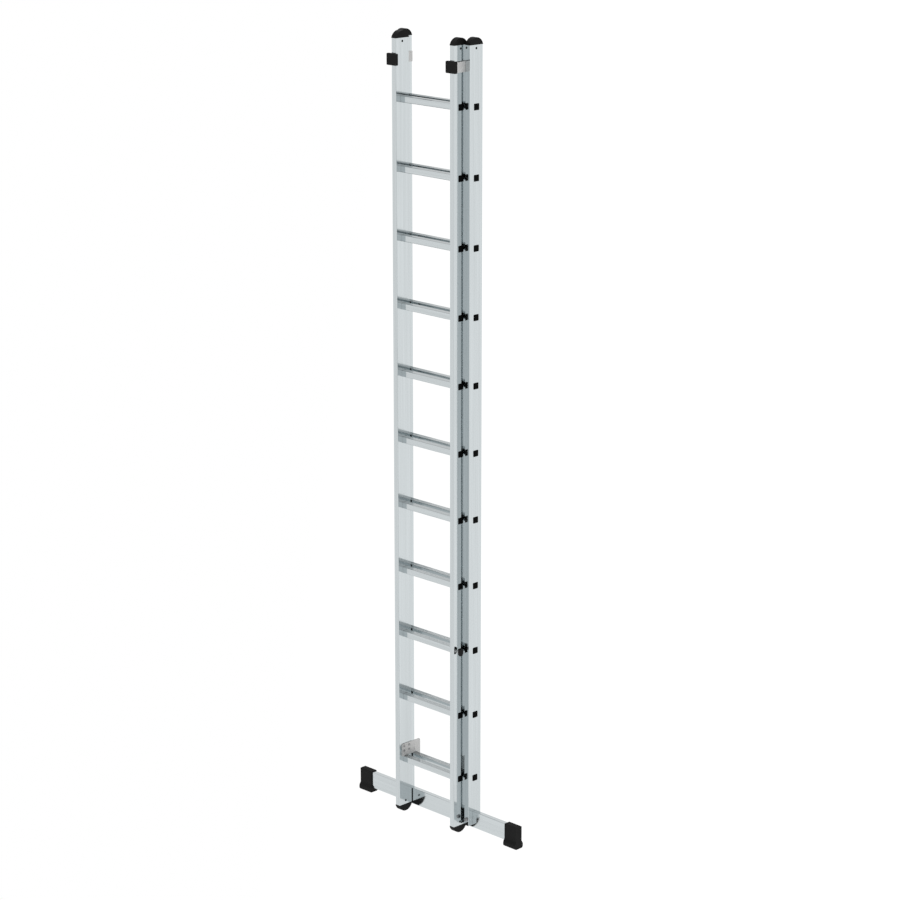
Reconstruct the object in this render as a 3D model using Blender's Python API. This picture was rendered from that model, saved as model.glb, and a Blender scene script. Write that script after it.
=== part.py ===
"""Two-section aluminium push-up extension ladder, standing upright and retracted.

Frame: origin at the middle of the footprint on the floor, +X to the user's right,
+Y away from the user (towards the wall), +Z up. Lengths below are millimetres.
"""

import math

import bmesh
import bpy

MM = 0.001

# Depth positions are first laid out from the front section's front face (DEPTH_0 = 0),
# then moved so that the whole ladder is centred on Y = 0.
CENTRE_Y = 56.1

# Stile extrusion: a flat rectangular tube.
STILE_THICK = 24.0
STILE_DEEP = 71.2
STILE_WALL = 1.8
STILE_CORNER = 1.0
STILE_INNER_CORNER = 0.4
STILE_BOTTOM = 33.0
STILE_TOP = 3282.0
FRONT_OUTER_X = 174.0
REAR_OUTER_X = 208.6
FRONT_FACE_Y = 0.0
REAR_FACE_Y = 51.0

# Rungs: square ribbed tubes, one pitch apart, level in both sections.
RUNG_COUNT = 11
RUNG_PITCH = 280.0
RUNG_FIRST_Z = 241.0
RUNG_SIZE = 26.0
RUNG_WALL = 1.6
RUNG_BEHIND_MIDDLE = 2.0
RUNG_RIBS = 4
RIB_GROOVE = 2.6
RIB_DEEP = 0.8
FIT = 0.3

# End caps and feet: a half-round nose over the end of a stile, with a hollow spigot inside it.
CAP_RISE = 28.7
FOOT_RISE = 30.0
NOSE_LIP = 1.0
SPIGOT_LONG = 34.0
SPIGOT_WALL = 2.6
SPIGOT_FIT = 0.5
PIN_RADIUS = 4.6
CAP_PIN_FROM_RIM = 13.0
FOOT_PIN_FROM_RIM = 16.0

# Stabiliser bar across the foot of the rear section, with a rubber boot on each end.
BAR_FRONT_Y = 75.0
BAR_THICK = 21.5
BAR_BOTTOM = 22.0
BAR_HIGH = 71.5
BAR_HALF_LONG = 462.0
BAR_WALL = 1.8
BAR_CORNER = 1.8
BOOT_INNER_X = 398.0
BOOT_OUTER_X = 466.0
BOOT_WALL = 4.5
BOOT_TOP_WALL = 3.2
SOLE_CORNER = 8.0
BOOT_FLARE = 8.0
BOLT_Z = 60.7
BOLT_RADIUS = 4.0
BOLT_HEAD_RADIUS = 8.0
BOLT_HEAD_HIGH = 8.0

# Steel guide brackets near the top of the rear section and the plastic pads they carry.
GUIDE_LOW = 3178.0
GUIDE_HIGH = 3219.5
GUIDE_PLATE = 3.0
PAD_INNER_X = 137.0
PAD_OUTER_X = 192.0
PAD_FRONT_Y = -11.0
PAD_BACK_Y = -1.0
PAD_LOW = 3176.0
PAD_HIGH = 3223.0
PAD_HOLD = 4.0
FLANGE_FRONT_Y = -7.5
FLANGE_INNER_X = 142.0

# Rung hooks on the inner faces of the front section, over the rear section's lowest rung.
HOOK_PLATE = 3.0
HOOK_FRONT_Y = 14.0
HOOK_BACK_Y = 119.0
HOOK_LOW = 255.0
HOOK_HIGH = 310.0
HOOK_TIP_LOW = 230.0
HOOK_TIP_Y = 103.0
RIVET_PLACES = ((25.0, 278.5), (25.0, 298.5), (54.0, 278.5), (54.0, 298.5))
RIVET_RADIUS = 2.4
RIVET_HEAD_RADIUS = 5.0
RIVET_HEAD_HIGH = 1.8

# Stop knob on the outer face of the front section's right stile, just above the third rung.
KNOB_Y = 20.5
KNOB_Z = 804.0
KNOB_NECK_RADIUS = 4.2
KNOB_HEAD_FROM = 14.0
KNOB_HEAD_TO = 22.0
KNOB_HALF_WIDE = 11.6
KNOB_UP = 14.5
KNOB_DOWN = 14.5


def clear_scene():
    for item in list(bpy.data.objects):
        bpy.data.objects.remove(item, do_unlink=True)


def material(name, colour, metallic, roughness):
    made = bpy.data.materials.new(name)
    made.use_nodes = True
    shader = made.node_tree.nodes["Principled BSDF"]
    shader.inputs["Base Color"].default_value = (*colour, 1.0)
    shader.inputs["Metallic"].default_value = metallic
    shader.inputs["Roughness"].default_value = roughness
    made.diffuse_color = (*colour, 1.0)
    return made


def add_object(name, points, faces, parent=None, finish=None, smooth=False):
    """One mesh object from points in millimetres, depth measured from the front face."""
    mesh = bpy.data.meshes.new(name)
    moved = [(x * MM, (y - CENTRE_Y) * MM, z * MM) for x, y, z in points]
    mesh.from_pydata(moved, [], faces)
    tidy = bmesh.new()
    tidy.from_mesh(mesh)
    bmesh.ops.recalc_face_normals(tidy, faces=tidy.faces)
    tidy.to_mesh(mesh)
    tidy.free()
    if smooth:
        mesh.shade_smooth()
        mesh.set_sharp_from_angle(angle=math.radians(35))
    made = bpy.data.objects.new(name, mesh)
    bpy.context.scene.collection.objects.link(made)
    if finish:
        mesh.materials.append(finish)
    if parent:
        made.parent = parent
        made.matrix_parent_inverse = parent.matrix_world.inverted()
    return made


def placed(axis, along, across, up):
    """A point from its place along an axis and its two places across it."""
    if axis == "X":
        return (along, across, up)
    if axis == "Y":
        return (across, along, up)
    return (across, up, along)


def prism_shape(outline, axis, low, high, base=0):
    """Points and faces of a solid prism: a closed outline pushed along an axis."""
    count = len(outline)
    points = [placed(axis, end, u, v) for end in (low, high) for u, v in outline]
    faces = [[base + i for i in range(count)]]
    faces.append([base + count + i for i in range(count)])
    for i in range(count):
        j = (i + 1) % count
        faces.append([base + i, base + j, base + count + j, base + count + i])
    return points, faces


def prism(name, outline, axis, low, high, **rest):
    points, faces = prism_shape(outline, axis, low, high)
    return add_object(name, points, faces, **rest)


def tube(name, outer, inner, axis, low, high, **rest):
    """A prism with a bore: both outlines have the same number of points."""
    count = len(outer)
    loops = [(outer, low), (inner, low), (outer, high), (inner, high)]
    points = [placed(axis, end, u, v) for outline, end in loops for u, v in outline]
    faces = []
    for i in range(count):
        j = (i + 1) % count
        faces.append([i, j, count + j, count + i])
        faces.append([2 * count + i, 2 * count + j, 3 * count + j, 3 * count + i])
        faces.append([i, j, 2 * count + j, 2 * count + i])
        faces.append([count + i, count + j, 3 * count + j, 3 * count + i])
    return add_object(name, points, faces, **rest)


def rectangle(u0, u1, v0, v1):
    return [(u0, v0), (u1, v0), (u1, v1), (u0, v1)]


def rounded(u0, u1, v0, v1, radius, steps=3):
    """A rectangle with round corners."""
    centres = [(u1 - radius, v0 + radius, -90), (u1 - radius, v1 - radius, 0)]
    centres += [(u0 + radius, v1 - radius, 90), (u0 + radius, v0 + radius, 180)]
    outline = []
    for cu, cv, start in centres:
        for step in range(steps + 1):
            angle = math.radians(start + 90 * step / steps)
            outline.append((cu + radius * math.cos(angle), cv + radius * math.sin(angle)))
    return outline


def circle(cu, cv, radius, steps=16):
    turns = [2 * math.pi * (i + 0.5) / steps for i in range(steps)]
    return [(cu + radius * math.cos(t), cv + radius * math.sin(t)) for t in turns]


def mirrored(outline):
    return [(-u, v) for u, v in outline]


def combine(target, name, shapes, operation):
    """Joins to an object, or takes from it, prisms (outline, axis, low, high) that don't overlap."""
    points = []
    faces = []
    for outline, axis, low, high in shapes:
        more, sides = prism_shape(outline, axis, low, high, len(points))
        points += more
        faces += sides
    helper = add_object(name, points, faces)
    helper.hide_render = True
    helper.display_type = "WIRE"
    change = target.modifiers.new(name, "BOOLEAN")
    change.operation = operation
    change.solver = "EXACT"
    change.object = helper


def cut_away(target, name, shapes):
    combine(target, name, shapes, "DIFFERENCE")


def join_on(target, name, shape):
    combine(target, name, [shape], "UNION")


def x_span(side, near, far):
    """Low and high X of a span given outwards from the middle, on one side."""
    return (near, far) if side > 0 else (-far, -near)


def rung_middle(face_y):
    """Depth of a rung's axis: a little behind the middle of its stiles."""
    return face_y + STILE_DEEP / 2 + RUNG_BEHIND_MIDDLE


def rung_heights():
    return [RUNG_FIRST_Z + RUNG_PITCH * i for i in range(RUNG_COUNT)]


def side_name(side):
    return "right" if side > 0 else "left"


def stile(name, side, outer_x, face_y, extra_cuts, parent, finish):
    """One hollow side rail with its square rung holes and pin holes."""
    low, high = x_span(side, outer_x - STILE_THICK, outer_x)
    back = face_y + STILE_DEEP
    outer = rounded(low, high, face_y, back, STILE_CORNER)
    wall = STILE_WALL
    inner = rounded(low + wall, high - wall, face_y + wall, back - wall, STILE_INNER_CORNER)
    made = tube(
        name, outer, inner, "Z", STILE_BOTTOM, STILE_TOP,
        parent=parent, finish=finish, smooth=True,
    )
    rung_y = rung_middle(face_y)
    half = RUNG_SIZE / 2 + FIT
    cuts = []
    for z in rung_heights():
        hole = rectangle(rung_y - half, rung_y + half, z - half, z + half)
        cuts.append((hole, "X", low - 1, high + 1))
    middle = face_y + STILE_DEEP / 2
    pin_z = STILE_TOP - CAP_PIN_FROM_RIM
    cuts.append((circle(middle, pin_z, PIN_RADIUS + FIT), "X", low - 1, high + 1))
    cuts += extra_cuts
    cut_away(made, "cut_" + name, cuts)


def rung_outline(y, z):
    """Square with bevelled corners and anti-slip grooves along its top and bottom."""
    half = RUNG_SIZE / 2
    bevel = 1.6
    run = [(y - half, z - half + bevel), (y - half + bevel, z - half)]
    pitch = (RUNG_SIZE - 2 * bevel) / (RUNG_RIBS + 1)
    bottom = []
    for i in range(1, RUNG_RIBS + 1):
        centre = y - half + bevel + pitch * i
        bottom.append((centre - RIB_GROOVE / 2, z - half))
        bottom.append((centre - RIB_GROOVE / 2 + 0.4, z - half + RIB_DEEP))
        bottom.append((centre + RIB_GROOVE / 2 - 0.4, z - half + RIB_DEEP))
        bottom.append((centre + RIB_GROOVE / 2, z - half))
    run += bottom
    run += [(y + half - bevel, z - half), (y + half, z - half + bevel)]
    return run + [(2 * y - u, 2 * z - v) for u, v in run]


def rung(name, outer_x, face_y, z, parent, finish):
    """One tube that runs through both stiles and ends flush with their outer faces."""
    y = rung_middle(face_y)
    low, high = -outer_x, outer_x
    made = prism(name, rung_outline(y, z), "X", low, high, parent=parent, finish=finish)
    half = RUNG_SIZE / 2 - RUNG_WALL
    bore = rectangle(y - half, y + half, z - half, z + half)
    cut_away(made, "bore_" + name, [(bore, "X", low - 1, high + 1)])


def nose_outline(face_y, rim_z, up, rise):
    """Side view of a half-round nose that overhangs the stile by a small lip."""
    half = STILE_DEEP / 2 + NOSE_LIP
    middle = face_y + STILE_DEEP / 2
    radius = (half * half + rise * rise) / (2 * rise)
    reach = math.asin(min(1.0, half / radius))
    steps = 20
    outline = []
    for i in range(steps + 1):
        angle = -reach + 2 * reach * i / steps
        height = radius * math.cos(angle) - (radius - rise)
        outline.append((middle + radius * math.sin(angle), rim_z + up * (FIT + height)))
    return outline


def end_piece(name, side, outer_x, face_y, rim_z, up, pin_from_rim, parent, finish):
    """A cap (up = 1) or a foot (up = -1): nose and hollow spigot in one moulding."""
    low, high = x_span(side, outer_x - STILE_THICK - NOSE_LIP, outer_x + NOSE_LIP)
    middle = face_y + STILE_DEEP / 2
    nose = nose_outline(face_y, rim_z, up, CAP_RISE if up > 0 else FOOT_RISE)
    inset = STILE_WALL + SPIGOT_FIT
    half_y = STILE_DEEP / 2 - inset
    end_z = rim_z - up * SPIGOT_LONG
    low_in, high_in = x_span(side, outer_x - STILE_THICK + inset, outer_x - inset)
    made = prism(name, nose, "X", low, high, parent=parent, finish=finish, smooth=True)
    root = rim_z + up * 6.0
    z0, z1 = sorted((root, end_z))
    spigot = rectangle(middle - half_y, middle + half_y, z0, z1)
    join_on(made, "spigot_" + name, (spigot, "X", low_in, high_in))
    wall = SPIGOT_WALL
    z0, z1 = sorted((rim_z - up * 1.0, end_z - up * 1.0))
    pocket = rectangle(middle - half_y + wall, middle + half_y - wall, z0, z1)
    cut_away(made, "pocket_" + name, [(pocket, "X", low_in + wall, high_in - wall)])
    hole = circle(middle, rim_z - up * pin_from_rim, PIN_RADIUS + FIT)
    cut_away(made, "pin_hole_" + name, [(hole, "X", low_in - 1, high_in + 1)])
    return made


def turned(name, axis, across, profile, steps=16, **rest):
    """A solid of round steps on one axis: profile holds (place along, radius) pairs."""
    cu, cv = across
    points = []
    faces = []
    for along, radius in profile:
        ring = circle(cu, cv, radius, steps)
        points += [placed(axis, along, u, v) for u, v in ring]
    for row in range(len(profile) - 1):
        for i in range(steps):
            j = (i + 1) % steps
            a, b = row * steps, (row + 1) * steps
            faces.append([a + i, a + j, b + j, b + i])
    faces.append(list(range(steps)))
    faces.append([(len(profile) - 1) * steps + i for i in range(steps)])
    return add_object(name, points, faces, smooth=True, **rest)


def pin(name, side, outer_x, face_y, z, parent, finish):
    """Cross pin that holds a cap or a foot: it ends a little proud of both stile faces."""
    low, high = x_span(side, outer_x - STILE_THICK - 0.8, outer_x + 0.8)
    middle = face_y + STILE_DEEP / 2
    profile = [(low, PIN_RADIUS - 0.5), (low + 0.5, PIN_RADIUS), (high - 0.5, PIN_RADIUS)]
    profile.append((high, PIN_RADIUS - 0.5))
    return turned(name, "X", (middle, z), profile, parent=parent, finish=finish)


def bar_parts(parent, aluminium, rubber, fixing):
    """Stabiliser bar, its two boots and the bolts that hold it in the stile notches."""
    top = BAR_BOTTOM + BAR_HIGH
    back = BAR_FRONT_Y + BAR_THICK
    outer = rounded(BAR_FRONT_Y, back, BAR_BOTTOM, top, BAR_CORNER, 2)
    wall = BAR_WALL
    inner = rounded(BAR_FRONT_Y + wall, back - wall, BAR_BOTTOM + wall, top - wall, 0.5, 2)
    bar = tube(
        "stabiliser_bar", outer, inner, "X", -BAR_HALF_LONG, BAR_HALF_LONG,
        parent=parent, finish=aluminium, smooth=True,
    )
    bolt_x = REAR_OUTER_X - STILE_THICK / 2
    holes = []
    for side in (-1, 1):
        place = circle(side * bolt_x, BOLT_Z, BOLT_RADIUS + FIT)
        holes.append((place, "Y", BAR_FRONT_Y - 1, back + 1))
    cut_away(bar, "cut_stabiliser_bar", holes)
    for side in (-1, 1):
        boot(side, parent, rubber)
        front = REAR_FACE_Y - FIT
        rear = REAR_FACE_Y + STILE_DEEP
        profile = [
            (front - BOLT_HEAD_HIGH, BOLT_HEAD_RADIUS - 2.5),
            (front - BOLT_HEAD_HIGH + 2.0, BOLT_HEAD_RADIUS - 0.6),
            (front - 1.5, BOLT_HEAD_RADIUS),
            (front, BOLT_HEAD_RADIUS),
            (front, BOLT_RADIUS),
            (rear - 1.0, BOLT_RADIUS),
            (rear, BOLT_RADIUS - 0.8),
        ]
        turned(
            "bar_bolt_" + side_name(side), "Y", (side * bolt_x, BOLT_Z), profile,
            parent=parent, finish=fixing,
        )


def boot(side, parent, finish):
    """Rubber boot: a sleeve over the end of the bar, with a thick flared sole."""
    front = BAR_FRONT_Y - FIT - BOOT_WALL
    back = BAR_FRONT_Y + BAR_THICK + FIT + BOOT_WALL
    top = BAR_BOTTOM + BAR_HIGH + FIT + BOOT_TOP_WALL
    sole_front = front - BOOT_FLARE
    sole_back = back + BOOT_FLARE
    round_off = SOLE_CORNER
    nip = 0.3 * SOLE_CORNER
    outline = [
        (sole_front + round_off, 0.0), (sole_back - round_off, 0.0), (sole_back - nip, nip),
        (sole_back, round_off), (sole_back, 19.0), (sole_back - 1.6, 23.0),
        (back + 1.0, 31.0), (back, 34.0), (back, top - 2.0), (back - 2.0, top),
        (front + 2.0, top), (front, top - 2.0), (front, 34.0), (front - 1.0, 31.0),
        (sole_front + 1.6, 23.0), (sole_front, 19.0), (sole_front, round_off),
        (sole_front + nip, nip),
    ]
    low, high = x_span(side, BOOT_INNER_X, BOOT_OUTER_X)
    name = "bar_boot_" + side_name(side)
    made = prism(name, outline, "X", low, high, parent=parent, finish=finish)
    pocket = rectangle(
        BAR_FRONT_Y - FIT, BAR_FRONT_Y + BAR_THICK + FIT,
        BAR_BOTTOM - FIT, BAR_BOTTOM + BAR_HIGH + FIT,
    )
    inside = x_span(side, BOOT_INNER_X - 1, BAR_HALF_LONG + FIT)
    cut_away(made, "cut_" + name, [(pocket, "X", *inside)])
    return made


def guide(side, parent, steel, plastic):
    """Bent steel bracket on a rear stile's inner face and the pad on its front flange."""
    face = REAR_OUTER_X - STILE_THICK - FIT
    plate = GUIDE_PLATE
    back = REAR_FACE_Y + STILE_DEEP
    flange_back = FLANGE_FRONT_Y + plate
    bend = 2.5
    plan = [
        (face, back), (face - plate, back), (face - plate, flange_back + 0.01),
        (FLANGE_INNER_X, flange_back), (FLANGE_INNER_X, FLANGE_FRONT_Y),
        (face - bend, FLANGE_FRONT_Y), (face - bend / 3, FLANGE_FRONT_Y + bend / 3),
        (face, FLANGE_FRONT_Y + bend),
    ]
    if side < 0:
        plan = mirrored(plan)
    name = "guide_bracket_" + side_name(side)
    made = prism(name, plan, "Z", GUIDE_LOW, GUIDE_HIGH, parent=parent, finish=steel)
    wide = x_span(side, FLANGE_INNER_X - 5, face + 5)
    trims = []
    hold_low, hold_high = GUIDE_LOW + PAD_HOLD, GUIDE_HIGH - PAD_HOLD
    for low, high in ((GUIDE_LOW - 1, hold_low), (hold_high, GUIDE_HIGH + 1)):
        trims.append((rectangle(*wide, FLANGE_FRONT_Y - 2, PAD_BACK_Y + 0.6), "Z", low, high))
    cut_away(made, "trim_" + name, trims)
    low, high = x_span(side, PAD_INNER_X, PAD_OUTER_X)
    shape = rounded(low, high, PAD_LOW, PAD_HIGH, 4.0, 3)
    pad_name = "guide_pad_" + side_name(side)
    points, faces = prism_shape(shape, "Y", PAD_FRONT_Y, PAD_BACK_Y)
    pad = add_object(pad_name, points, faces, parent=parent, finish=plastic, smooth=True)
    slot_low, slot_high = hold_low - FIT, hold_high + FIT
    flange = x_span(side, FLANGE_INNER_X - FIT, face + FIT)
    neck = x_span(side, face - plate - FIT, face + FIT)
    room = rectangle(*flange, FLANGE_FRONT_Y - FIT, flange_back + FIT)
    cut_away(pad, "room_" + pad_name, [(room, "Z", slot_low, slot_high)])
    entry = rectangle(*neck, flange_back, PAD_BACK_Y + 1)
    cut_away(pad, "entry_" + pad_name, [(entry, "Z", slot_low, slot_high)])


def hook(side, parent, steel, fixing):
    """Steel rung hook riveted inside a front stile; its arm lies on the rear rung."""
    inner = FRONT_OUTER_X - STILE_THICK - FIT
    low, high = x_span(side, inner - HOOK_PLATE, inner)
    outline = [
        (HOOK_FRONT_Y, HOOK_LOW), (HOOK_TIP_Y, HOOK_LOW), (HOOK_TIP_Y, HOOK_TIP_LOW + 2),
        (HOOK_TIP_Y + 4, HOOK_TIP_LOW), (HOOK_BACK_Y - 4, HOOK_TIP_LOW),
        (HOOK_BACK_Y, HOOK_TIP_LOW + 6), (HOOK_BACK_Y, HOOK_HIGH - 5),
        (HOOK_BACK_Y - 5, HOOK_HIGH), (HOOK_FRONT_Y + 3, HOOK_HIGH),
        (HOOK_FRONT_Y, HOOK_HIGH - 3),
    ]
    name = "rung_hook_" + side_name(side)
    made = prism(name, outline, "X", low, high, parent=parent, finish=steel)
    holes = []
    for y, z in RIVET_PLACES:
        holes.append((circle(y, z, RIVET_RADIUS + FIT), "X", low - 1, high + 1))
    cut_away(made, "cut_" + name, holes)
    for number, (y, z) in enumerate(RIVET_PLACES, 1):
        head = inner - HOOK_PLATE - FIT
        tail = inner + STILE_WALL + 3.0
        profile = [
            (head - RIVET_HEAD_HIGH, RIVET_HEAD_RADIUS - 1.6),
            (head - RIVET_HEAD_HIGH + 0.6, RIVET_HEAD_RADIUS - 0.5),
            (head, RIVET_HEAD_RADIUS),
            (head, RIVET_RADIUS),
            (tail, RIVET_RADIUS),
        ]
        profile = [(side * along, radius) for along, radius in profile]
        turned(
            f"hook_rivet_{side_name(side)}_{number}", "X", (y, z), profile, 12,
            parent=parent, finish=fixing,
        )


def stop_knob(side, parent, finish):
    """Shield-shaped head on a round neck, standing out from one front stile."""
    face = FRONT_OUTER_X
    top, bottom = KNOB_Z + KNOB_UP, KNOB_Z - KNOB_DOWN
    half = [(3.5, bottom), (7.0, bottom + 1.5), (KNOB_HALF_WIDE, KNOB_Z - 4.0)]
    half += [(KNOB_HALF_WIDE, top - 3.5), (KNOB_HALF_WIDE - 3.5, top)]
    shield = [(KNOB_Y + out, z) for out, z in half]
    shield += [(KNOB_Y - out, z) for out, z in reversed(half)]
    name = "stop_knob_" + side_name(side)
    head = x_span(side, face + KNOB_HEAD_FROM, face + KNOB_HEAD_TO)
    made = prism(name, shield, "X", *head, parent=parent, finish=finish)
    neck = circle(KNOB_Y, KNOB_Z, KNOB_NECK_RADIUS)
    reach = x_span(side, face + FIT, face + KNOB_HEAD_FROM + 3)
    join_on(made, "neck_" + name, (neck, "X", *reach))


def group(name, y):
    made = bpy.data.objects.new(name, None)
    made.location = (0.0, (y - CENTRE_Y) * MM, 0.0)
    bpy.context.scene.collection.objects.link(made)
    bpy.context.view_layer.update()
    return made


def bar_slot():
    """Side view of the slot in a rear stile's lower end that the stabiliser bar sits in."""
    back = BAR_FRONT_Y + BAR_THICK
    top = BAR_BOTTOM + BAR_HIGH
    return rectangle(BAR_FRONT_Y - FIT, back + FIT, STILE_BOTTOM - 5, top + FIT)


def build_rear(aluminium, plastic, rubber, steel, fixing):
    parent = group("rear_section", REAR_FACE_Y + STILE_DEEP / 2)
    bolt_x = REAR_OUTER_X - STILE_THICK / 2
    for side in (-1, 1):
        where = side_name(side)
        low, high = x_span(side, REAR_OUTER_X - STILE_THICK, REAR_OUTER_X)
        hole = circle(side * bolt_x, BOLT_Z, BOLT_RADIUS + FIT)
        cuts = [
            (bar_slot(), "X", low - 1, high + 1),
            (hole, "Y", REAR_FACE_Y - 1, REAR_FACE_Y + STILE_WALL + 1),
            (hole, "Y", REAR_FACE_Y + STILE_DEEP - STILE_WALL - 1, REAR_FACE_Y + STILE_DEEP + 1),
        ]
        stile("rear_stile_" + where, side, REAR_OUTER_X, REAR_FACE_Y, cuts, parent, aluminium)
        end_piece(
            "rear_top_cap_" + where, side, REAR_OUTER_X, REAR_FACE_Y, STILE_TOP, 1,
            CAP_PIN_FROM_RIM, parent, plastic,
        )
        pin_z = STILE_TOP - CAP_PIN_FROM_RIM
        pin("rear_cap_pin_" + where, side, REAR_OUTER_X, REAR_FACE_Y, pin_z, parent, fixing)
        guide(side, parent, steel, plastic)
    for number, z in enumerate(rung_heights(), 1):
        rung(f"rear_rung_{number:02d}", REAR_OUTER_X, REAR_FACE_Y, z, parent, aluminium)
    bar_parts(parent, aluminium, rubber, fixing)


def build_front(aluminium, plastic, rubber, steel, fixing):
    parent = group("front_section", FRONT_FACE_Y + STILE_DEEP / 2)
    for side in (-1, 1):
        where = side_name(side)
        low, high = x_span(side, FRONT_OUTER_X - STILE_THICK, FRONT_OUTER_X)
        middle = FRONT_FACE_Y + STILE_DEEP / 2
        foot_z = STILE_BOTTOM + FOOT_PIN_FROM_RIM
        cuts = [(circle(middle, foot_z, PIN_RADIUS + FIT), "X", low - 1, high + 1)]
        inner_wall = x_span(side, FRONT_OUTER_X - STILE_THICK - 1, FRONT_OUTER_X - STILE_THICK + 3)
        for y, z in RIVET_PLACES:
            cuts.append((circle(y, z, RIVET_RADIUS + FIT), "X", *inner_wall))
        stile("front_stile_" + where, side, FRONT_OUTER_X, FRONT_FACE_Y, cuts, parent, aluminium)
        end_piece(
            "front_top_cap_" + where, side, FRONT_OUTER_X, FRONT_FACE_Y, STILE_TOP, 1,
            CAP_PIN_FROM_RIM, parent, plastic,
        )
        pin_z = STILE_TOP - CAP_PIN_FROM_RIM
        pin("front_cap_pin_" + where, side, FRONT_OUTER_X, FRONT_FACE_Y, pin_z, parent, fixing)
        end_piece(
            "front_foot_" + where, side, FRONT_OUTER_X, FRONT_FACE_Y, STILE_BOTTOM, -1,
            FOOT_PIN_FROM_RIM, parent, rubber,
        )
        pin("front_foot_pin_" + where, side, FRONT_OUTER_X, FRONT_FACE_Y, foot_z, parent, fixing)
        hook(side, parent, steel, fixing)
    stop_knob(1, parent, plastic)
    for number, z in enumerate(rung_heights(), 1):
        rung(f"front_rung_{number:02d}", FRONT_OUTER_X, FRONT_FACE_Y, z, parent, aluminium)


def main():
    clear_scene()
    aluminium = material("aluminium_extrusion", (0.80, 0.82, 0.84), 1.0, 0.28)
    steel = material("galvanised_steel", (0.62, 0.62, 0.60), 1.0, 0.42)
    plastic = material("black_plastic", (0.02, 0.02, 0.022), 0.0, 0.5)
    rubber = material("black_rubber", (0.016, 0.016, 0.016), 0.0, 0.7)
    fixing = material("dark_fixing_steel", (0.10, 0.10, 0.11), 1.0, 0.4)
    build_rear(aluminium, plastic, rubber, steel, fixing)
    build_front(aluminium, plastic, rubber, steel, fixing)


main()
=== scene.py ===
"""Looks for the two-section extension ladder: finishes, small fittings, floor, light, camera."""

import math

import bmesh
import bpy
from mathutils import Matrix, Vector


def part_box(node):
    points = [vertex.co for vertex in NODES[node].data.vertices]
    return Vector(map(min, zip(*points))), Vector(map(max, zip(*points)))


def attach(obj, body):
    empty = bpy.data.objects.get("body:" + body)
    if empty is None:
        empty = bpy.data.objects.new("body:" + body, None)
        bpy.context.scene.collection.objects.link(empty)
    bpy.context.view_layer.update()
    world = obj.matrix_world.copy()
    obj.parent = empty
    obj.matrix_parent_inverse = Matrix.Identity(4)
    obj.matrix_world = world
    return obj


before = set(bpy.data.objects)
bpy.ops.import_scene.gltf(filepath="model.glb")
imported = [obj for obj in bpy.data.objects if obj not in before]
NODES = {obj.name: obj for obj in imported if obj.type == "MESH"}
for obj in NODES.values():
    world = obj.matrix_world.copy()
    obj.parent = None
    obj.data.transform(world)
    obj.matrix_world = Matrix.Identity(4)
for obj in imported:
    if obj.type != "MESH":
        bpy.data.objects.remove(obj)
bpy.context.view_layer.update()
REAR = "rear_section"
FRONT = "front_section"
SCENE = bpy.context.scene

# Camera: a long lens, in front of the ladder to its right, looking a little down.
CAMERA_PLACE = (7.7378, -7.6783, 4.6702)
CAMERA_AZIMUTH = math.radians(44.8676)
CAMERA_DOWN = math.radians(15.630)
LENS_MM = 111.27
SENSOR_MM = 36.0

# Brightness of the floor on either side, and of the sky at heights above the horizon in degrees.
FLOOR_LEFT = 1.0
FLOOR_RIGHT = 1.10
SKY = (
    (-1.5, 1.0), (0.5, 0.72), (8.0, 0.78), (15.0, 0.92), (22.0, 0.97), (50.0, 0.80), (90.0, 0.45),
)
FLOOR_HALF = 40.0

# Aluminium's base colour, and how much of it a rung's treads keep on their level faces: painted shade
# standing in for the shading between the serrations.
ALUMINIUM = (0.565, 0.604, 0.617)
TREAD_PAINTED_SHADE_LEVEL = 0.74

# Rung plug: (place out from the rung's end, half width) pairs.
PLUG_PROUD = 0.0025
PLUG_RINGS = (
    (-0.006, 0.0108), (0.0002, 0.0108), (0.0002, 0.0128), (0.0010, 0.0131),
    (PLUG_PROUD - 0.0006, 0.0128), (PLUG_PROUD - 0.0001, 0.0121), (PLUG_PROUD, 0.0105),
)

# Spacer sleeve round the neck of the stop knob.
KNOB_TOP_TO_AXIS = 0.0145
KNOB_STANDS_OUT = 0.014
SLEEVE_BORE = 0.0045
SLEEVE_RADIUS = 0.0062

# Pressed bosses on the hooks and flush rivets in the stiles: (place out, radius) pairs.
DIMPLE_FROM_BACK = 0.032
DIMPLE_DROPS = (0.017, 0.037)
DIMPLE_PROFILE = ((0.0004, 0.0044), (-0.0003, 0.0042), (-0.0009, 0.0030), (-0.0011, 0.0012))
RIVET_FROM_FRONT = 0.0165
RIVET_UP = 0.030
RIVET_PROFILE = (
    (-0.0006, 0.0072), (0.0003, 0.0070), (0.0008, 0.0062),
    (0.0008, 0.0050), (0.0001, 0.0040), (0.0001, 0.0010),
)


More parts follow.
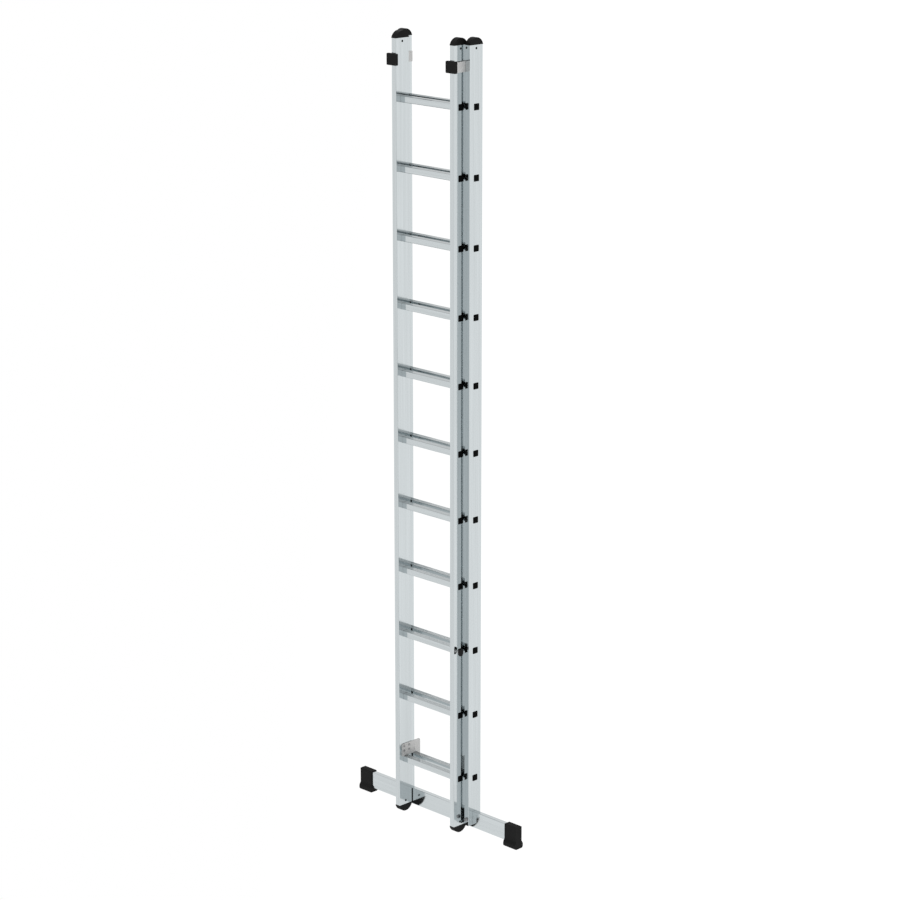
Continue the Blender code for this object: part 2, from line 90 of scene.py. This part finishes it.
# ---------------------------------------------------------------- materials
class Shader:
    """A small helper that builds one node material step by step."""

    def __init__(self, name, colour, metallic, roughness, specular=0.5):
        self.material = bpy.data.materials.new(name)
        self.material.use_nodes = True
        self.tree = self.material.node_tree
        self.main = self.tree.nodes["Principled BSDF"]
        self.main.inputs["Base Color"].default_value = (*colour, 1.0)
        self.main.inputs["Metallic"].default_value = metallic
        self.main.inputs["Roughness"].default_value = roughness
        self.main.inputs["Specular IOR Level"].default_value = specular
        self.place = self.tree.nodes.new("ShaderNodeTexCoord").outputs["Object"]

    def node(self, kind, **settings):
        made = self.tree.nodes.new(kind)
        for key, value in settings.items():
            setattr(made, key, value)
        return made

    def link(self, source, target):
        self.tree.links.new(source, target)

    def stretched(self, scale):
        """Object coordinates (metres) multiplied by a scale for each axis."""
        mapping = self.node("ShaderNodeMapping")
        mapping.inputs["Scale"].default_value = scale
        self.link(self.place, mapping.inputs["Vector"])
        return mapping.outputs["Vector"]

    def noise(self, scale, size, detail=3.0, rough=0.55):
        made = self.node("ShaderNodeTexNoise")
        made.inputs["Scale"].default_value = size
        made.inputs["Detail"].default_value = detail
        made.inputs["Roughness"].default_value = rough
        self.link(self.stretched(scale), made.inputs["Vector"])
        return made.outputs["Fac"]

    def remap(self, value, low, high, to_low, to_high):
        made = self.node("ShaderNodeMapRange")
        made.inputs["From Min"].default_value = low
        made.inputs["From Max"].default_value = high
        made.inputs["To Min"].default_value = to_low
        made.inputs["To Max"].default_value = to_high
        self.link(value, made.inputs["Value"])
        return made.outputs["Result"]

    def ramp(self, value, stops):
        made = self.node("ShaderNodeValToRGB")
        elements = made.color_ramp.elements
        while len(elements) < len(stops):
            elements.new(0.5)
        for element, (position, colour) in zip(elements, stops):
            element.position = position
            element.color = (*colour, 1.0)
        self.link(value, made.inputs["Fac"])
        return made.outputs["Color"]

    def bump(self, height, strength, distance, base=None):
        made = self.node("ShaderNodeBump")
        made.inputs["Strength"].default_value = strength
        made.inputs["Distance"].default_value = distance
        self.link(height, made.inputs["Height"])
        if base:
            self.link(base, made.inputs["Normal"])
        return made.outputs["Normal"]

    def add(self, first, second):
        made = self.node("ShaderNodeMath", operation="ADD")
        self.link(first, made.inputs[0])
        self.link(second, made.inputs[1])
        return made.outputs[0]

    def mix(self, factor, first, colour):
        """A linked colour that turns into a plain one as the factor rises."""
        made = self.node("ShaderNodeMix", data_type="RGBA")
        self.link(factor, made.inputs["Factor"])
        self.link(first, made.inputs["A"])
        made.inputs["B"].default_value = (*colour, 1.0)
        return made.outputs["Result"]

    def edge_mask(self, radius):
        """Near 1 within a radius of a sharp edge, and 0 on the flat."""
        soft = self.node("ShaderNodeBevel", samples=4)
        soft.inputs["Radius"].default_value = radius
        plain = self.node("ShaderNodeNewGeometry")
        same = self.node("ShaderNodeVectorMath", operation="DOT_PRODUCT")
        self.link(soft.outputs["Normal"], same.inputs[0])
        self.link(plain.outputs["Normal"], same.inputs[1])
        return self.remap(same.outputs["Value"], 1.0, 0.85, 0.0, 1.0)

    def level_face_shade_mask(self):
        """1 on faces that look straight up or down, and 0 on upright ones: the mask for the painted
        shade on rung treads.
        """
        plain = self.node("ShaderNodeNewGeometry")
        split = self.node("ShaderNodeSeparateXYZ")
        self.link(plain.outputs["True Normal"], split.inputs["Vector"])
        size = self.node("ShaderNodeMath", operation="ABSOLUTE")
        self.link(split.outputs["Z"], size.inputs[0])
        return self.remap(size.outputs[0], 0.3, 0.8, 0.0, 1.0)

    def set(self, socket, source):
        self.link(source, self.main.inputs[socket])


def aluminium(name, along, paint_tread_shade=False):
    """Mill-finish extrusion: die lines along one axis, slow tone change, a few dull scuffs.

    On rung treads, the faces that look straight up or down get a darker base colour: painted shade
    standing in for the shading between the serrations.
    """
    made = Shader(name, ALUMINIUM, 1.0, 0.12)
    squeeze = [1.0, 1.0, 1.0]
    squeeze["XYZ".index(along)] = 0.012
    lines = made.noise(squeeze, 900.0, 4.0, 0.7)
    broad = made.noise(squeeze, 110.0, 2.0)
    cloud = made.noise((1.0, 1.0, 1.0), 9.0, 3.0)
    scuff = made.noise((1.0, 1.0, 1.0), 55.0, 5.0, 0.65)
    darker = tuple(0.955 * c for c in ALUMINIUM)
    lighter = tuple(1.045 * c for c in ALUMINIUM)
    tone = made.ramp(broad, [(0.30, darker), (0.70, lighter)])
    # Painted shade: the level faces of rung treads get a darker base colour.
    if paint_tread_shade:
        tone = made.mix(made.level_face_shade_mask(), tone, tuple(TREAD_PAINTED_SHADE_LEVEL * c for c in ALUMINIUM))
    made.set("Base Color", tone)
    fine = made.remap(lines, 0.2, 0.8, 0.05, 0.11)
    slow = made.remap(cloud, 0.3, 0.7, 0.01, 0.05)
    dull = made.remap(scuff, 0.64, 0.74, 0.0, 0.10)
    made.set("Roughness", made.add(made.add(fine, slow), dull))
    made.set("Normal", made.bump(lines, 0.10, 0.0002))
    return made.material


def moulded(name, colour, shine, rough_low, rough_high, grain):
    """Black plastic, rubber or coated pin: a fine grain, with the edges rubbed a little paler."""
    made = Shader(name, colour, 0.0, 0.5, shine)
    fine = made.noise((1.0, 1.0, 1.0), 1400.0, 2.0)
    cloud = made.noise((1.0, 1.0, 1.0), 24.0, 3.0)
    dark = tuple(0.7 * c for c in colour)
    light = tuple(1.3 * c for c in colour)
    rubbed = tuple(2.4 * c for c in colour)
    body = made.ramp(cloud, [(0.3, dark), (0.7, light)])
    made.set("Base Color", made.mix(made.edge_mask(0.0008), body, rubbed))
    made.set("Roughness", made.remap(cloud, 0.3, 0.7, rough_low, rough_high))
    made.set("Normal", made.bump(fine, grain, 0.0003))
    return made.material


def galvanised(name, colour):
    """Dull zinc-coated steel sheet: faint spangle and a neutral grey."""
    made = Shader(name, colour, 0.55, 0.5)
    spangle = made.node("ShaderNodeTexVoronoi", feature="F1")
    spangle.inputs["Scale"].default_value = 160.0
    made.link(made.place, spangle.inputs["Vector"])
    cloud = made.noise((1.0, 1.0, 1.0), 60.0, 4.0)
    tone = made.node("ShaderNodeMix", data_type="FLOAT")
    tone.inputs["Factor"].default_value = 0.45
    made.link(cloud, tone.inputs["A"])
    made.link(spangle.outputs["Color"], tone.inputs["B"])
    darker = tuple(0.92 * c for c in colour)
    lighter = tuple(1.08 * c for c in colour)
    made.set("Base Color", made.ramp(tone.outputs["Result"], [(0.25, darker), (0.75, lighter)]))
    made.set("Roughness", made.remap(tone.outputs["Result"], 0.2, 0.8, 0.44, 0.60))
    made.set("Normal", made.bump(cloud, 0.05, 0.0003))
    return made.material


def fixing(name, colour):
    """Plated rivets and bolts: a fine mottle."""
    made = Shader(name, colour, 1.0, 0.4)
    cloud = made.noise((1.0, 1.0, 1.0), 300.0, 3.0)
    darker = tuple(0.8 * c for c in colour)
    lighter = tuple(1.2 * c for c in colour)
    made.set("Base Color", made.ramp(cloud, [(0.3, darker), (0.7, lighter)]))
    made.set("Roughness", made.remap(cloud, 0.3, 0.7, 0.32, 0.5))
    made.set("Normal", made.bump(cloud, 0.1, 0.0002))
    return made.material


UPRIGHT = aluminium("aluminium_upright", "Z")
CROSSWAYS = aluminium("aluminium_crossways", "X")
# Rung finish with painted shade on its level faces.
TREAD_PAINTED_SHADE_FINISH = aluminium("aluminium_rung_tread_painted_shade", "X", True)
PLASTIC = moulded("black_moulded_plastic", (0.0068, 0.0066, 0.0066), 0.10, 0.42, 0.58, 0.25)
PLUG = moulded("black_plug_plastic", (0.0016, 0.0016, 0.0016), 0.03, 0.45, 0.6, 0.2)
RUBBER = moulded("black_rubber_sole", (0.0098, 0.0098, 0.0098), 0.10, 0.6, 0.75, 0.4)
STEEL = galvanised("galvanised_sheet", (0.575, 0.575, 0.57))
RIVET = fixing("grey_rivet_steel", (0.30, 0.30, 0.305))
DARK = moulded("black_pin_plating", (0.0016, 0.0016, 0.0016), 0.03, 0.5, 0.65, 0.1)


def finish_for(name):
    if "stile" in name:
        return UPRIGHT
    if "rear_rung" in name or "front_rung" in name:
        return TREAD_PAINTED_SHADE_FINISH
    if name == "stabiliser_bar":
        return CROSSWAYS
    if "cap_pin" in name or "foot_pin" in name:
        return DARK
    if "rivet" in name or "bolt" in name:
        return RIVET
    if "bracket" in name or "hook" in name:
        return STEEL
    if "boot" in name or "foot" in name:
        return RUBBER
    return PLASTIC


def dress_nodes():
    for name, node in NODES.items():
        node.data.materials.clear()
        node.data.materials.append(finish_for(name))


# ---------------------------------------------------------------- pieces
def mesh_piece(name, made, body, finish, smooth=True):
    mesh = bpy.data.meshes.new(name)
    bmesh.ops.recalc_face_normals(made, faces=made.faces)
    made.to_mesh(mesh)
    made.free()
    if smooth:
        mesh.shade_smooth()
        mesh.set_sharp_from_angle(angle=math.radians(40))
    mesh.materials.append(finish)
    piece = bpy.data.objects.new(name, mesh)
    SCENE.collection.objects.link(piece)
    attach(piece, body)
    return piece


def ring_loop(made, along, middle, radius, steps=20):
    """A ring of vertices round an axis parallel to X."""
    loop = []
    for step in range(steps):
        angle = math.tau * step / steps
        y = middle[0] + radius * math.cos(angle)
        z = middle[1] + radius * math.sin(angle)
        loop.append(made.verts.new((along, y, z)))
    return loop


def skin(made, loops):
    for low, high in zip(loops, loops[1:]):
        for i in range(len(low)):
            j = (i + 1) % len(low)
            made.faces.new((low[i], low[j], high[j], high[i]))


def turned_piece(name, body, middle, profile, finish, closed=False):
    """A piece of round steps along X: profile holds (place along X, radius) pairs in metres."""
    made = bmesh.new()
    loops = [ring_loop(made, along, middle, radius) for along, radius in profile]
    if closed:
        loops.append(loops[0])
    skin(made, loops)
    if not closed:
        made.faces.new(loops[0])
        made.faces.new(loops[-1])
    return mesh_piece(name, made, body, finish)


def rung_plug(name, body, end_x, middle, side):
    """A square plug with softened edges and a slight crown in a rung's open end."""
    made = bmesh.new()
    loops = []
    for out, half in PLUG_RINGS:
        corner = min(0.003, half * 0.25)
        loop = []
        for cu, cv, start in ((1, -1, -90), (1, 1, 0), (-1, 1, 90), (-1, -1, 180)):
            for step in range(4):
                angle = math.radians(start + 30 * step)
                u = cu * (half - corner) + corner * math.cos(angle)
                v = cv * (half - corner) + corner * math.sin(angle)
                loop.append(made.verts.new((end_x + side * out, middle[1] + u, middle[2] + v)))
        loops.append(loop)
    skin(made, loops)
    made.faces.new(loops[0])
    made.faces.new(loops[-1])
    return mesh_piece(name, made, body, PLUG)


def add_plugs():
    for body, start in ((REAR, "rear"), (FRONT, "front")):
        for number in range(1, 12):
            low, high = (Vector(c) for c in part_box(f"{start}_rung_{number:02d}"))
            middle = (low + high) / 2
            for side, end_x in ((-1, low.x), (1, high.x)):
                where = "right" if side > 0 else "left"
                rung_plug(f"{start}_rung_plug_{number:02d}_{where}", body, end_x, middle, side)


def add_knob_sleeve():
    """A bright spacer tube round the neck of the stop knob."""
    knob_low, knob_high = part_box("stop_knob_right")
    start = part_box("front_stile_right")[1][0]
    middle = ((knob_low[1] + knob_high[1]) / 2, knob_high[2] - KNOB_TOP_TO_AXIS)
    near, far = start + 0.0004, start + KNOB_STANDS_OUT - 0.0003
    profile = [(near, SLEEVE_BORE), (near, SLEEVE_RADIUS), (far, SLEEVE_RADIUS), (far, SLEEVE_BORE)]
    turned_piece("knob_sleeve_right", FRONT, middle, profile, STEEL, True)


def add_hook_dimples():
    """Two shallow pressed bosses near the back edge of each rung hook."""
    for side, where in ((-1, "left"), (1, "right")):
        low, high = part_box("rung_hook_" + where)
        face = low[0] if side > 0 else high[0]
        for number, drop in enumerate(DIMPLE_DROPS, 1):
            middle = (high[1] - DIMPLE_FROM_BACK, high[2] - drop)
            profile = [(face + side * out, radius) for out, radius in DIMPLE_PROFILE]
            name = f"hook_dimple_{where}_{number}"
            turned_piece(name, FRONT, middle, profile, STEEL)


def add_stile_rivets():
    """A flush rivet in each rear stile's outer face, beside the stabiliser bar."""
    for side, where in ((-1, "left"), (1, "right")):
        low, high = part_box("rear_stile_" + where)
        face = high[0] if side > 0 else low[0]
        middle = (low[1] + RIVET_FROM_FRONT, low[2] + RIVET_UP)
        profile = [(face + side * out, radius) for out, radius in RIVET_PROFILE]
        name = "stile_rivet_" + where
        turned_piece(name, REAR, middle, profile, UPRIGHT)


# ---------------------------------------------------------------- stage
def add_floor():
    """A glowing white table: a little brighter behind and to the right of the ladder."""
    mesh = bpy.data.meshes.new("floor")
    half = FLOOR_HALF
    corners = [(-half, -half, 0), (half, -half, 0), (half, half, 0), (-half, half, 0)]
    mesh.from_pydata(corners, [], [(0, 1, 2, 3)])
    made = Shader("white_floor", (0.0, 0.0, 0.0), 0.0, 0.9, 0.0)
    split = made.node("ShaderNodeSeparateXYZ")
    made.link(made.place, split.inputs["Vector"])
    across = made.add(split.outputs["X"], split.outputs["Y"])
    made.main.inputs["Emission Color"].default_value = (1.0, 1.0, 1.0, 1.0)
    made.set("Emission Strength", made.remap(across, -1.0, 2.0, FLOOR_LEFT, FLOOR_RIGHT))
    mesh.materials.append(made.material)
    floor = bpy.data.objects.new("floor", mesh)
    SCENE.collection.objects.link(floor)


def add_world():
    """White below the horizon, and a pale sky above it, brightest part way up and darkest overhead."""
    world = bpy.data.worlds.new("studio")
    SCENE.world = world
    world.use_nodes = True
    tree = world.node_tree
    back = tree.nodes["Background"]
    place = tree.nodes.new("ShaderNodeTexCoord")
    split = tree.nodes.new("ShaderNodeSeparateXYZ")
    spread = tree.nodes.new("ShaderNodeMapRange")
    ramp = tree.nodes.new("ShaderNodeValToRGB")
    tree.links.new(place.outputs["Generated"], split.inputs["Vector"])
    tree.links.new(split.outputs["Z"], spread.inputs["Value"])
    spread.inputs["From Min"].default_value = -1.0
    elements = ramp.color_ramp.elements
    while len(elements) < len(SKY):
        elements.new(0.5)
    for element, (height, level) in zip(elements, SKY):
        element.position = (math.sin(math.radians(height)) + 1.0) / 2.0
        element.color = (level, level, level, 1.0)
    tree.links.new(spread.outputs["Result"], ramp.inputs["Fac"])
    tree.links.new(ramp.outputs["Color"], back.inputs["Color"])
    SCENE.view_settings.view_transform = "Standard"
    SCENE.view_settings.look = "None"
    SCENE.view_settings.exposure = 0.0
    SCENE.view_settings.gamma = 1.0


def add_camera():
    data = bpy.data.cameras.new("camera")
    data.lens = LENS_MM
    data.sensor_width = SENSOR_MM
    data.clip_end = 100.0
    camera = bpy.data.objects.new("camera", data)
    flat = math.cos(CAMERA_DOWN)
    across = (-math.sin(CAMERA_AZIMUTH) * flat, math.cos(CAMERA_AZIMUTH) * flat)
    look = Vector((*across, -math.sin(CAMERA_DOWN)))
    camera.location = CAMERA_PLACE
    camera.rotation_euler = look.to_track_quat("-Z", "Y").to_euler()
    SCENE.collection.objects.link(camera)
    SCENE.camera = camera


dress_nodes()
add_plugs()
add_knob_sleeve()
add_hook_dimples()
add_stile_rivets()
add_floor()
add_world()
add_camera()
